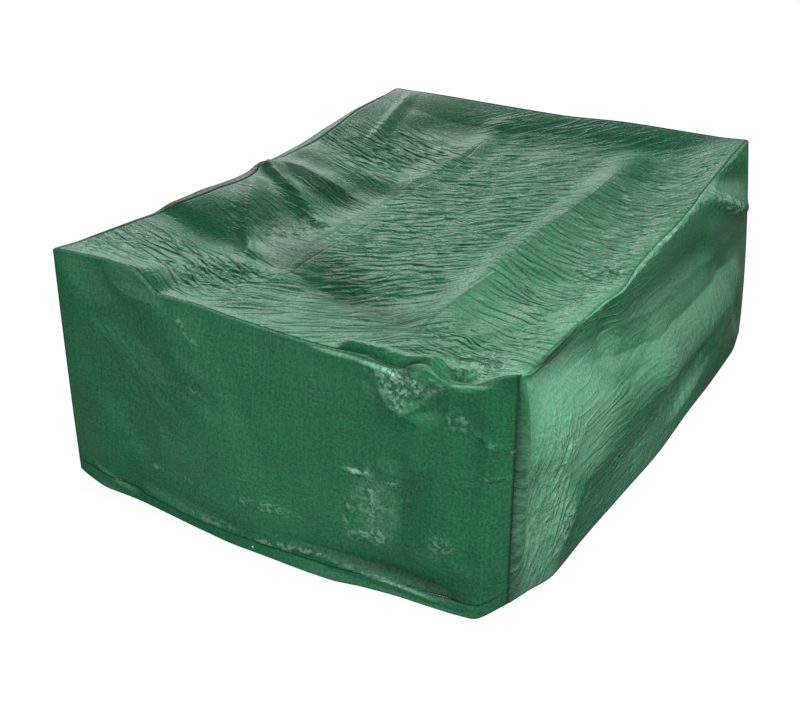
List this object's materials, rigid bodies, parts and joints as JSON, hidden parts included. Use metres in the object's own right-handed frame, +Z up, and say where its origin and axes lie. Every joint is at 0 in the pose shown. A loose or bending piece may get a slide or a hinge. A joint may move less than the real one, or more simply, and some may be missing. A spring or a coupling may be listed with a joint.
{
  "type": "patio furniture cover",
  "caption": "Fitted rectangular cover of green woven sheet with a sagging top, flared side panels, sewn corner seams and a front hem with a metal eyelet.",
  "frame": {"origin": "on the ground, under the middle of the cover", "axes": "+X along the front to the right, +Y from front to back along the length, +Z up"},
  "size_m": [2.295, 3.0048, 1.0579],
  "materials": {
    "cover_cloth": "green woven polyethylene sheet with a film on it, semi-gloss, crinkled",
    "eyelet_metal": "bright pressed metal"
  },
  "bodies": {
    "root": {"top_panel": "cover_cloth", "front_panel": "cover_cloth", "right_panel": "cover_cloth", "back_panel": "cover_cloth", "left_panel": "cover_cloth", "front_hem": "cover_cloth", "front_eyelet": "eyelet_metal"}
  },
  "joints": []
}
